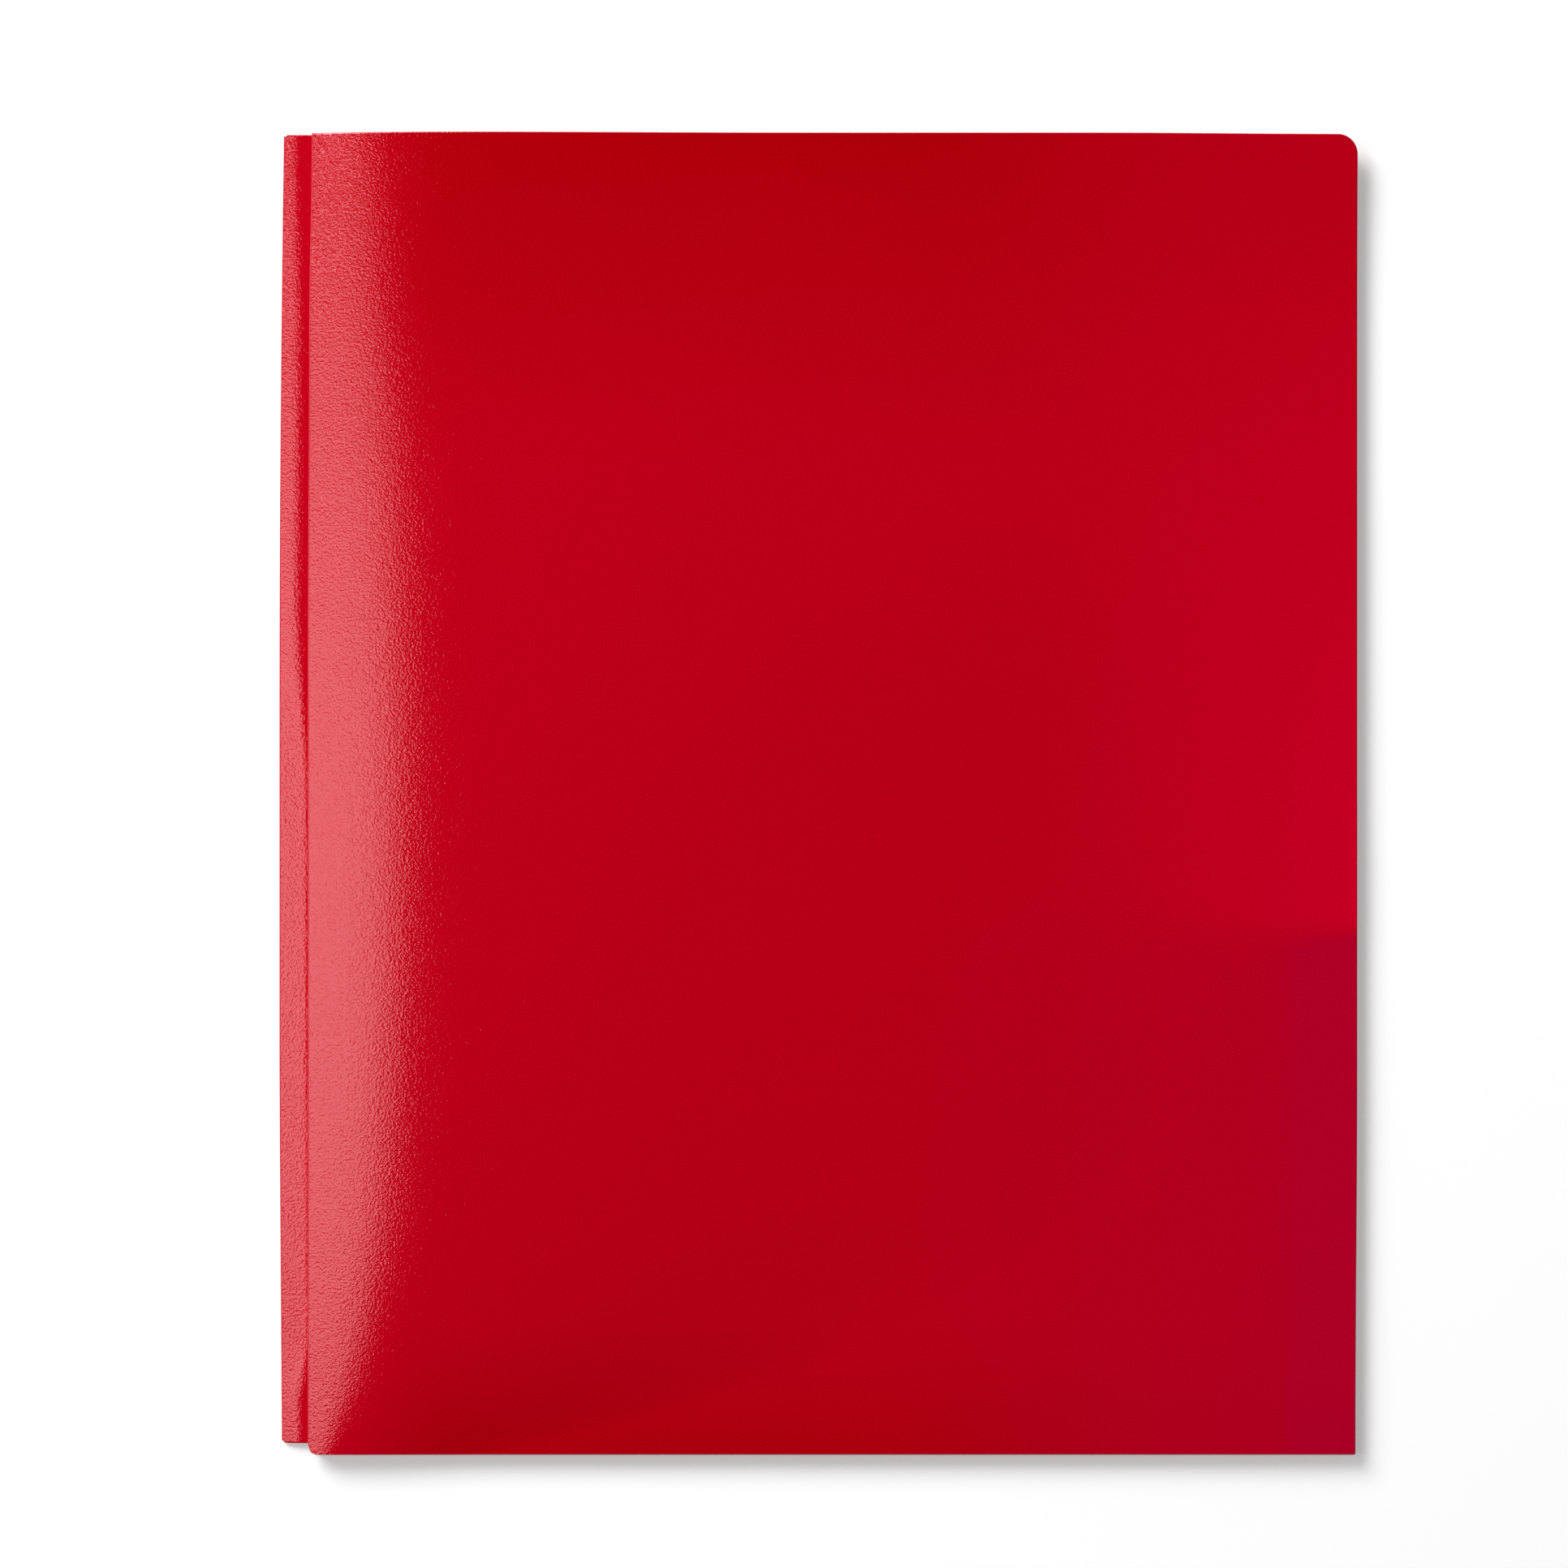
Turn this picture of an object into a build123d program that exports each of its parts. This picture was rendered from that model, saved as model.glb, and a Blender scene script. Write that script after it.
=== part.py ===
from build123d import *
import os

os.makedirs("parts", exist_ok=True)

# Closed two pocket folder of polypropylene sheet, lying on its back cover.
# X runs from the spine to the fore edge, Y from the pocket folds to the top edge, Z upwards.
# The origin is under the middle of the closed folder. All sizes are in millimetres.

# Sheet and covers
sheet = 0.5
overall_width = 241.3
overall_height = 296.1
fore_corner_radius = 4.0
spine_relief = 2.4
relief_run = 3.2

# Arch of the front cover beside the spine
arch_rise = 5.0
arch_slope = 0.23
arch_reach = 40.0
arch_full_height = 95.0

# Spine pleat, seen from the spine fold at the left
spine_step = 6.25
pleat_depth = 26.15
pleat_back_gap = 1.0
pleat_top_setback = 0.4

# Pockets and their welded side tabs
pocket_height = 117.5
pocket_corner_radius = 6.0
pocket_edge_margin = 0.5
tab_width = 15.5
tab_clearance = 0.2
tab_top_setback = 6.0
pleat_clearance = 1.5

# Double-tang fasteners. The end margin puts the outer ones 108 mm from the middle one,
# which is the spacing of three-hole paper.
fastener_end_margin = 40.05
fastener_inset = 7.0
steel = 0.3
tang_width = 4.0
tang_length = 22.0
tang_lift = 0.3
tang_headroom = 0.9
tang_spacing = 0.5
bend_clearance = 0.05
base_width = 9.0
base_length = 16.0
base_corner_radius = 1.0
slit_clearance = 0.25

# Edges of the closed folder
left = -overall_width / 2
right = overall_width / 2
bottom = -overall_height / 2
top = overall_height / 2

# Heights of the layers at the spine, from the back cover up
pleat_back_z = sheet + pleat_back_gap
base_z = pleat_back_z + sheet
pleat_front_z = base_z + steel
tang_axis_z = pleat_front_z + sheet + tang_lift + steel / 2
cover_z = pleat_front_z + sheet + tang_lift + steel + tang_headroom

# Radii of the fold rolls, each from the two layers that it joins
back_spine_radius = (pleat_back_z + sheet) / 2
ridge_radius = (pleat_front_z + sheet - pleat_back_z) / 2
front_spine_radius = (cover_z + sheet - pleat_front_z) / 2
pocket_gap = sheet + tab_clearance
pocket_radius = (pocket_gap + 2 * sheet) / 2

# Axes of the fold rolls
back_spine_x = left + back_spine_radius
ridge_x = left + pleat_depth - ridge_radius
front_spine_x = left + spine_step + front_spine_radius
back_spine_z = back_spine_radius
ridge_z = pleat_back_z + ridge_radius
front_spine_z = pleat_front_z + front_spine_radius
pocket_axis_y = bottom + pocket_radius
back_pocket_axis_z = pocket_radius
front_pocket_axis_z = cover_z + sheet - pocket_radius

# Outlines shared by the two halves of the sheet
spine_bottom = bottom + spine_relief
pleat_top = top - pleat_top_setback
pocket_left = front_spine_x + relief_run
pocket_inner = left + pleat_depth + pleat_clearance
pocket_right = right - pocket_edge_margin
pocket_top = bottom + pocket_height
arch_end = right - tab_width
arch_crest = front_spine_x + arch_reach

# Places of the fasteners
fastener_x = ridge_x - fastener_inset
fastener_places = {
    "top": top - fastener_end_margin,
    "middle": (top + bottom) / 2,
    "bottom": bottom + fastener_end_margin,
}
tang_sides = {"upper": 1, "lower": -1}


def cover_outline():
    """Cover panel from the front spine fold to the fore edge, relieved at the foot of the spine."""
    with BuildLine() as outline:
        EllipticalCenterArc((pocket_left, spine_bottom), relief_run, spine_relief, 180, arc_size=90)
        Line((pocket_left, bottom), (pocket_left, pocket_axis_y))
        Line((pocket_left, pocket_axis_y), (right, pocket_axis_y))
        Line((right, pocket_axis_y), (right, top - fore_corner_radius))
        CenterArc((right - fore_corner_radius, top - fore_corner_radius), fore_corner_radius, 0, 90)
        Line((right - fore_corner_radius, top), (front_spine_x, top))
        Line((front_spine_x, top), (front_spine_x, spine_bottom))
    make_face(outline.edges())


def pocket_outline():
    """Pocket flap above its fold, cut back at the spine end so that it stays clear of the pleat."""
    with BuildLine() as outline:
        Line((pocket_inner, pocket_axis_y), (pocket_inner, pocket_top - pocket_corner_radius))
        CenterArc(
            (pocket_inner + pocket_corner_radius, pocket_top - pocket_corner_radius),
            pocket_corner_radius, 90, 90,
        )
        Polyline(
            (pocket_inner + pocket_corner_radius, pocket_top),
            (pocket_right, pocket_top),
            (pocket_right, pocket_axis_y),
            (pocket_inner, pocket_axis_y),
        )
    make_face(outline.edges())


def tab_outline():
    """Narrow side tab of a pocket, welded to the cover along the fore edge."""
    with BuildLine() as outline:
        Polyline(
            (pocket_right - tab_width, pocket_axis_y),
            (pocket_right - tab_width, pocket_top - tab_width),
            (pocket_right, pocket_top - tab_top_setback),
            (pocket_right, pocket_axis_y),
            close=True,
        )
    make_face(outline.edges())


def pleat_outline(fold_x):
    """Pleat panel from a spine fold to the ridge, ending just above the pocket folds."""
    with Locations((fold_x, spine_bottom)):
        Rectangle(ridge_x - fold_x, pleat_top - spine_bottom, align=(Align.MIN, Align.MIN))


def half_ring(across, up, radius, opens_to):
    """Section of a fold roll: half a ring of sheet thickness about its axis, open to the side given."""
    with Locations((across, up)):
        Circle(radius)
        Circle(radius - sheet, mode=Mode.SUBTRACT)
        cut_away = Align.MIN if opens_to > 0 else Align.MAX
        Rectangle(2 * radius, 3 * radius, align=(cut_away, Align.CENTER), mode=Mode.SUBTRACT)


def cover_section(rise, slope):
    """Section of the front cover across the folder: a rise beside the spine, then a long gentle fall."""
    third_up = arch_reach / 3
    third_down = (arch_end - arch_crest) / 3
    with BuildLine() as outline:
        for lift in (cover_z, cover_z + sheet):
            Bezier(
                (front_spine_x, lift),
                (front_spine_x + third_up, lift + slope * third_up),
                (arch_crest - third_up, lift + rise),
                (arch_crest, lift + rise),
            )
            Bezier(
                (arch_crest, lift + rise),
                (arch_crest + third_down, lift + rise),
                (arch_end - third_down, lift),
                (arch_end, lift),
            )
            Line((arch_end, lift), (right, lift))
        Line((front_spine_x, cover_z), (front_spine_x, cover_z + sheet))
        Line((right, cover_z), (right, cover_z + sheet))
    make_face(outline.edges())


# Back cover
with BuildPart() as back_cover:
    with BuildSketch(Plane.XY):
        cover_outline()
        with Locations((back_spine_x, spine_bottom)):
            Rectangle(front_spine_x - back_spine_x, top - spine_bottom, align=(Align.MIN, Align.MIN))
    extrude(amount=sheet)
back_cover.part.label = "back_cover"
export_step(back_cover.part, "parts/back_cover.step")

# Back pocket, its fold along the bottom edge and its welded tab
with BuildPart() as back_pocket:
    with BuildSketch(Plane.XY.offset(sheet + pocket_gap)):
        pocket_outline()
    extrude(amount=sheet)
back_pocket.part.label = "back_pocket"
export_step(back_pocket.part, "parts/back_pocket.step")

with BuildPart() as back_pocket_fold:
    with BuildSketch(Plane.YZ.offset(pocket_left)):
        half_ring(pocket_axis_y, back_pocket_axis_z, pocket_radius, 1)
    extrude(amount=pocket_right - pocket_left)
back_pocket_fold.part.label = "back_pocket_fold"
export_step(back_pocket_fold.part, "parts/back_pocket_fold.step")

with BuildPart() as back_pocket_tab:
    with BuildSketch(Plane.XY.offset(sheet)):
        tab_outline()
    extrude(amount=sheet)
back_pocket_tab.part.label = "back_pocket_tab"
export_step(back_pocket_tab.part, "parts/back_pocket_tab.step")

# Spine pleat: two panels between the spine folds, joined at the ridge
with BuildPart() as back_spine_fold:
    with BuildSketch(Plane.XZ.offset(-pleat_top)):
        half_ring(back_spine_x, back_spine_z, back_spine_radius, 1)
    extrude(amount=pleat_top - spine_bottom)
back_spine_fold.part.label = "back_spine_fold"
export_step(back_spine_fold.part, "parts/back_spine_fold.step")

with BuildPart() as back_pleat_panel:
    with BuildSketch(Plane.XY.offset(pleat_back_z)):
        pleat_outline(back_spine_x)
    extrude(amount=sheet)
back_pleat_panel.part.label = "back_pleat_panel"
export_step(back_pleat_panel.part, "parts/back_pleat_panel.step")

with BuildPart() as pleat_ridge:
    with BuildSketch(Plane.XZ.offset(-pleat_top)):
        half_ring(ridge_x, ridge_z, ridge_radius, -1)
    extrude(amount=pleat_top - spine_bottom)
pleat_ridge.part.label = "pleat_ridge"
export_step(pleat_ridge.part, "parts/pleat_ridge.step")

with BuildPart() as front_pleat_panel:
    with BuildSketch(Plane.XY.offset(pleat_front_z)):
        pleat_outline(front_spine_x)
        with Locations(*[(fastener_x, place) for place in fastener_places.values()]):
            Rectangle(
                tang_width + 2 * slit_clearance,
                tang_spacing + steel + 2 * slit_clearance,
                mode=Mode.SUBTRACT,
            )
    extrude(amount=sheet)
front_pleat_panel.part.label = "front_pleat_panel"
export_step(front_pleat_panel.part, "parts/front_pleat_panel.step")

with BuildPart() as front_spine_fold:
    with BuildSketch(Plane.XZ.offset(-pleat_top)):
        half_ring(front_spine_x, front_spine_z, front_spine_radius, 1)
    extrude(amount=pleat_top - spine_bottom)
front_spine_fold.part.label = "front_spine_fold"
export_step(front_spine_fold.part, "parts/front_spine_fold.step")

# Front cover: flat along the pocket fold, arched beside the spine from there up
with BuildPart() as front_cover:
    for station, share in ((bottom, 0), (bottom + arch_full_height, 1), (top, 1)):
        with BuildSketch(Plane.XZ.offset(-station)):
            cover_section(share * arch_rise, share * arch_slope)
    loft(ruled=True)
    with BuildSketch(Plane.XY):
        cover_outline()
    extrude(amount=cover_z + arch_rise + 2 * sheet, mode=Mode.INTERSECT)
front_cover.part.label = "front_cover"
export_step(front_cover.part, "parts/front_cover.step")

# Front pocket, its fold along the bottom edge and its welded tab
with BuildPart() as front_pocket:
    with BuildSketch(Plane.XY.offset(cover_z - pocket_gap - sheet)):
        pocket_outline()
    extrude(amount=sheet)
front_pocket.part.label = "front_pocket"
export_step(front_pocket.part, "parts/front_pocket.step")

with BuildPart() as front_pocket_fold:
    with BuildSketch(Plane.YZ.offset(pocket_left)):
        half_ring(pocket_axis_y, front_pocket_axis_z, pocket_radius, 1)
    extrude(amount=pocket_right - pocket_left)
front_pocket_fold.part.label = "front_pocket_fold"
export_step(front_pocket_fold.part, "parts/front_pocket_fold.step")

with BuildPart() as front_pocket_tab:
    with BuildSketch(Plane.XY.offset(cover_z - sheet)):
        tab_outline()
    extrude(amount=sheet)
front_pocket_tab.part.label = "front_pocket_tab"
export_step(front_pocket_tab.part, "parts/front_pocket_tab.step")

# Fasteners: a base held between the pleat panels, with two necks through the slit
for place_name, place in fastener_places.items():
    with BuildPart() as fastener_base:
        with BuildSketch(Plane.XY.offset(base_z)):
            with Locations((fastener_x, place)):
                RectangleRounded(base_width, base_length, base_corner_radius)
        extrude(amount=steel)
        with BuildSketch(Plane.XY.offset(base_z)):
            with Locations((fastener_x, place)):
                with GridLocations(0, tang_spacing, 1, 2):
                    Rectangle(tang_width, steel)
        extrude(amount=tang_axis_z - steel / 2 - bend_clearance - base_z)
    fastener_base.part.label = f"fastener_base_{place_name}"
    export_step(fastener_base.part, f"parts/fastener_base_{place_name}.step")

    # Tangs: flat round-ended blades, each rolled at the bend above its neck
    for side_name, side in tang_sides.items():
        bend_y = place + side * tang_spacing / 2
        tip_y = bend_y + side * (tang_length - tang_width / 2)
        with BuildPart() as tang:
            with BuildSketch(Plane.XY.offset(tang_axis_z - steel / 2)):
                with Locations((fastener_x, (bend_y + tip_y) / 2)):
                    Rectangle(tang_width, abs(tip_y - bend_y))
                with Locations((fastener_x, tip_y)):
                    Circle(tang_width / 2)
            extrude(amount=steel)
            with BuildSketch(Plane.YZ.offset(fastener_x - tang_width / 2)):
                with Locations((bend_y, tang_axis_z)):
                    Circle(steel / 2)
            extrude(amount=tang_width)
        tang.part.label = f"tang_{place_name}_{side_name}"
        export_step(tang.part, f"parts/tang_{place_name}_{side_name}.step")
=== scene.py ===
import bmesh
import bpy
import numpy as np
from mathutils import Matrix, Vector


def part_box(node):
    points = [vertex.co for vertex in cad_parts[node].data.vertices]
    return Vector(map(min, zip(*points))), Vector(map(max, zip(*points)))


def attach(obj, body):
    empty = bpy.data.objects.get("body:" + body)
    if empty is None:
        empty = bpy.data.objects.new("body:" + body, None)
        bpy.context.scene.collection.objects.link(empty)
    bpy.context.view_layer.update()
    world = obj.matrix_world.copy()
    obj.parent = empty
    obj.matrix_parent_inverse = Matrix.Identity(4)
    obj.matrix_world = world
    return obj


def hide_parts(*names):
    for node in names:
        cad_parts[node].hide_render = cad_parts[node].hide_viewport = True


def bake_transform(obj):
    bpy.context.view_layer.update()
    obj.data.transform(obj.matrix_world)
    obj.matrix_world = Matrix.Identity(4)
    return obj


# Closed two pocket folder of embossed red polypropylene, lying on its back cover.
# X runs from the spine to the fore edge, Y from the pocket folds to the top edge, Z upwards. Metres.
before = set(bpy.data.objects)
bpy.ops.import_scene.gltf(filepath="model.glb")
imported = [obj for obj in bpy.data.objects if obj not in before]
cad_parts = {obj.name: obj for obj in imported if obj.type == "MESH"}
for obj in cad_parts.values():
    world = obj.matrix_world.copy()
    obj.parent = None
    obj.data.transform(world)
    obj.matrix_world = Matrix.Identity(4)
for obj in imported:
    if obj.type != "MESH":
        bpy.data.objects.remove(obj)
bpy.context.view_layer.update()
MM = 0.001
X, Y, Z = range(3)


def span(node, axis):
    """Lowest and highest place of a CAD node along one axis."""
    low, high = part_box(node)
    return low[axis], high[axis]


def middle_of(node, axis):
    """Middle of a CAD node along one axis."""
    return sum(span(node, axis)) / 2


# Sizes taken from the frame
SHEET = span("back_cover", Z)[1] - span("back_cover", Z)[0]
HALF = SHEET / 2
LEFT = span("back_spine_fold", X)[0]
RIGHT = span("back_cover", X)[1]
TOP = span("back_cover", Y)[1]
SPINE_BOTTOM, PLEAT_TOP = span("back_spine_fold", Y)
FRONT_FOLD_LEFT, FRONT_FOLD_X = span("front_spine_fold", X)
COVER_Z = span("front_spine_fold", Z)[1] - HALF
BACK_PANEL_Z = middle_of("back_pleat_panel", Z)
FRONT_PANEL_Z = middle_of("front_pleat_panel", Z)
RIDGE_X = span("pleat_ridge", X)[0]
BOTTOM, POCKET_FOLD_Y = span("front_pocket_fold", Y)
POCKET_LEFT, POCKET_RIGHT = span("front_pocket_fold", X)
POCKET_INNER = span("front_pocket", X)[0]
POCKET_TOP = span("front_pocket", Y)[1]
TAB_LEFT = span("front_pocket_tab", X)[0]
TAB_TOP = span("front_pocket_tab", Y)[1]
TAB_WIDTH = POCKET_RIGHT - TAB_LEFT
HEIGHT = TOP - BOTTOM

# Shape of the front cover: its arch beside the spine, its lifted top edge and its corners
FORE_CORNER = 4.5 * MM
FORE_LEAN = 0.4 * MM
TOP_FALL = 0.3 * MM
TOP_FALL_RUN = 60 * MM
TOP_FALL_DEPTH = 40 * MM
ARCH_SLOPE = 0.225
ARCH_LEAN = np.arctan(ARCH_SLOPE)
ARCH_REACH_FOOT = 8 * MM
ARCH_REACH = 43 * MM
ARCH_REACH_LOSS = 21 * MM
ARCH_GROWTH = 38 * MM
ARCH_END = RIGHT - TAB_WIDTH
TOP_LIFT = 1.5 * MM
TOP_LIFT_RUN = 45 * MM
CURL_RUN = 2.6 * MM
CURL_HEIGHT = 0.18 * MM
CURL_START = 2 * MM
CURL_FADE_START = 15 * MM
CURL_FADE_END = 40 * MM
HEEL_RUN = 1.2 * MM
HEEL_TOP = BOTTOM + 2 * MM

# Shape of the folds: creases with a soft bend inside the folder and a tight bend at the outer face
LOWER_BEND = 0.4 * MM
UPPER_BEND = 0.06 * MM
COVER_FOOT = BOTTOM + HALF + UPPER_BEND
FLAP_FOOT = BOTTOM + HALF + LOWER_BEND
CREASE_THIN = 0.8
CREASE_PALE = 0.8
BACK_BOW_HEAD = 1.02 * MM
BACK_BOW_FOOT = 0.58 * MM
BACK_BULGE = 0.42 * MM
FRONT_BOW_UPPER = 0.3 * MM
FRONT_BOW_HEAD = 0.6 * MM
RIDGE_RADIUS = (FRONT_PANEL_Z - BACK_PANEL_Z) / 2

# Shape of the spine strip, and the place of a small pale tick in its left edge
STRIP_START_Z = 0.84 * MM
STRIP_SETTLE = 8 * MM
STRIP_CORNER = 1.3 * MM
STRIP_CORNER_FADE = 4 * MM
TICK_Y = BOTTOM + 31.7 * MM
TICK_LENGTH = 0.35 * MM
TICK_REACH = 1.3 * MM
TICK_SLANT = 0.3

# Hems: the sheet that lies beyond a hinge's axis, beside its fold, and bends with the fold
COVER_HEM = 1.0 * MM
PANEL_HEM = 0.6 * MM
STRIP_HEM = 1.2 * MM

# Shape of the pockets, the tangs and the slits that the tangs pass through
POCKET_CORNER = 6 * MM
RIB_HEIGHT = 0.08 * MM
RIB_WIDTH = 0.7 * MM
SLIT_CLEARANCE = 0.25 * MM
SLIT_LENGTH = 0.55 * MM

# Painted shade and light on the cover, by what lies behind it and along its edges, as shares over its sheet
POCKET_EDGE_SOFT = 1.5 * MM
POCKET_EDGE_SPREAD = 0.25
BACKING_SHADE_RUN = 110 * MM
THROUGH_LIGHT_RUN = 77 * MM
THROUGH_LIGHT_FADE = 0.85
TOP_SHADE = 0.75
TOP_SHADE_RUN = 75 * MM
FOLD_SHADE = 0.6
FOLD_SHADE_RUN = 30 * MM
FORE_SHADE_LOSS = 0.7


def smooth(low, high, value):
    """Eased step from 0 at low to 1 at high: three squares less two cubes of the share of the way."""
    share = np.clip((value - low) / (high - low), 0, 1)
    return share * share * (3 - 2 * share)


def eased_slope(x, slope, hold, level):
    """Height over x of a slope that holds up to one place and eases off to level at another."""
    share = np.clip((x - hold) / (level - hold), 0, 1)
    return slope * (np.minimum(x, hold) + (level - hold) * (share - share**3 + share**4 / 2))


def back_fold_bow(y):
    """Sideways drift of the back spine fold: it bulges a little and leans in by powers at both ends."""
    share = (y - BOTTOM) / HEIGHT
    head = np.clip((share - 0.55) / 0.45, 0, 1) ** 2
    foot = np.clip(1 - share / 0.3, 0, 1) ** 1.2
    return BACK_BOW_HEAD * head + BACK_BOW_FOOT * foot - BACK_BULGE


def front_fold_bow(y):
    """Sideways drift of the front spine fold, which leans in towards the top edge."""
    share = (y - BOTTOM) / HEIGHT
    return FRONT_BOW_UPPER * smooth(0.6, 0.85, share) + FRONT_BOW_HEAD * smooth(0.85, 1.0, share)


def cover_reach(y):
    """Width of the arch: it widens up from the pocket fold, fast at first, and narrows to the top edge.

    The growth is one less an exponential, and the loss is a power of the share of the upper half.
    """
    grown = 1 - np.exp(-((y - BOTTOM) / ARCH_GROWTH))
    lost = np.clip(2 * (y - BOTTOM) / HEIGHT - 1, 0, 1) ** 2.4
    return ARCH_REACH_FOOT + (ARCH_REACH - ARCH_REACH_FOOT) * grown - ARCH_REACH_LOSS * lost


def front_fold_line(y):
    """Left side of the front fold, and where its lower and upper bends end."""
    side = FRONT_FOLD_LEFT + front_fold_bow(y) + HALF
    return side, side + LOWER_BEND, side + UPPER_BEND * (1 - np.sin(ARCH_LEAN))


def strip_shape(y):
    """Slope at which the spine strip leaves its fold, and where that slope stops holding and becomes level.

    Over most of the lower half the slope holds across the strip; it eases off sooner, and is steeper,
    towards both ends.
    """
    share = (y - BOTTOM) / HEIGHT
    foot = 1 - smooth(0.03, 0.09, share)
    upper = smooth(0.5, 0.65, share)
    head = smooth(0.85, 1.0, share)
    slope = 0.17 + 0.08 * foot + 0.05 * upper + 0.03 * head
    hold = (5 - 3.5 * foot - 4 * upper - 0.8 * head) * MM
    level = (7 - 1.5 * foot - 0.7 * upper - 1.7 * head) * MM
    return slope, hold, level


def back_fold_line(y):
    """Left side of the back fold, and where its lower and upper bends end."""
    side = LEFT + back_fold_bow(y) + HALF
    lean = np.arctan(strip_shape(y)[0])
    return side, side + LOWER_BEND, side + UPPER_BEND * (1 - np.sin(lean))


def strip_corner(x, y):
    """Lift of the lower edge of the strip at its left, where the corner is cut round."""
    edge = back_fold_line(y)[0] - HALF
    into = np.clip(1 - (x - edge) / STRIP_CORNER, 0, 1)
    fade = 1 - smooth(0, STRIP_CORNER_FADE, y - SPINE_BOTTOM)
    return STRIP_CORNER * (1 - np.sqrt(1 - into**2)) * fade


def crease(turn, side, low_z, high_z, lean):
    """Section of a creased fold, from its lower sheet round the left to its leaning upper sheet.

    Up to a third of the turn it is a quarter circle of the lower bend, then an upright side, and beyond
    two thirds an arc of the upper bend that stops short of level by the lean.
    """
    lower = np.radians(270) - np.clip(3 * turn, 0, 1) * np.radians(90)
    upper = np.radians(180) - np.clip(3 * turn - 2, 0, 1) * (np.radians(90) - lean)
    foot_z = low_z + LOWER_BEND
    head_z = high_z - UPPER_BEND * np.cos(lean)
    upright = foot_z + np.clip(3 * turn - 1, 0, 1) * (head_z - foot_z)
    low_x, high_x = side + LOWER_BEND * (1 + np.cos(lower)), side + UPPER_BEND * (1 + np.cos(upper))
    low_arc, high_arc = foot_z + LOWER_BEND * np.sin(lower), upright + UPPER_BEND * np.sin(upper)
    in_lower = turn < 1 / 3
    return np.where(in_lower, low_x, high_x), np.where(in_lower, low_arc, high_arc)


def with_rims(places, radius, round_start=True, round_end=True):
    """Places along one way of a sheet, with extra ones where a rounded rim turns over."""
    places = np.asarray(places, float)
    turn = radius * (1 - np.cos(np.radians([0, 30, 60, 90])))
    turn = np.append(turn, 2 * radius)
    first, last = places[0], places[-1]
    if round_start:
        places = np.concatenate((first + turn, places[places > first + 3 * radius]))
    if round_end:
        places = np.concatenate((places[places < last - 3 * radius], (last - turn)[::-1]))
    return places


def rim_share(places, radius, round_start, round_end):
    """Share of the full thickness: a quarter circle in from each rounded end, full elsewhere."""
    share = np.ones_like(places)
    for is_round, depth in ((round_start, places - places[0]), (round_end, places[-1] - places)):
        if is_round:
            share = share * np.sqrt(1 - (1 - np.clip(depth / radius, 0, 1)) ** 2)
    return share


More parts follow.
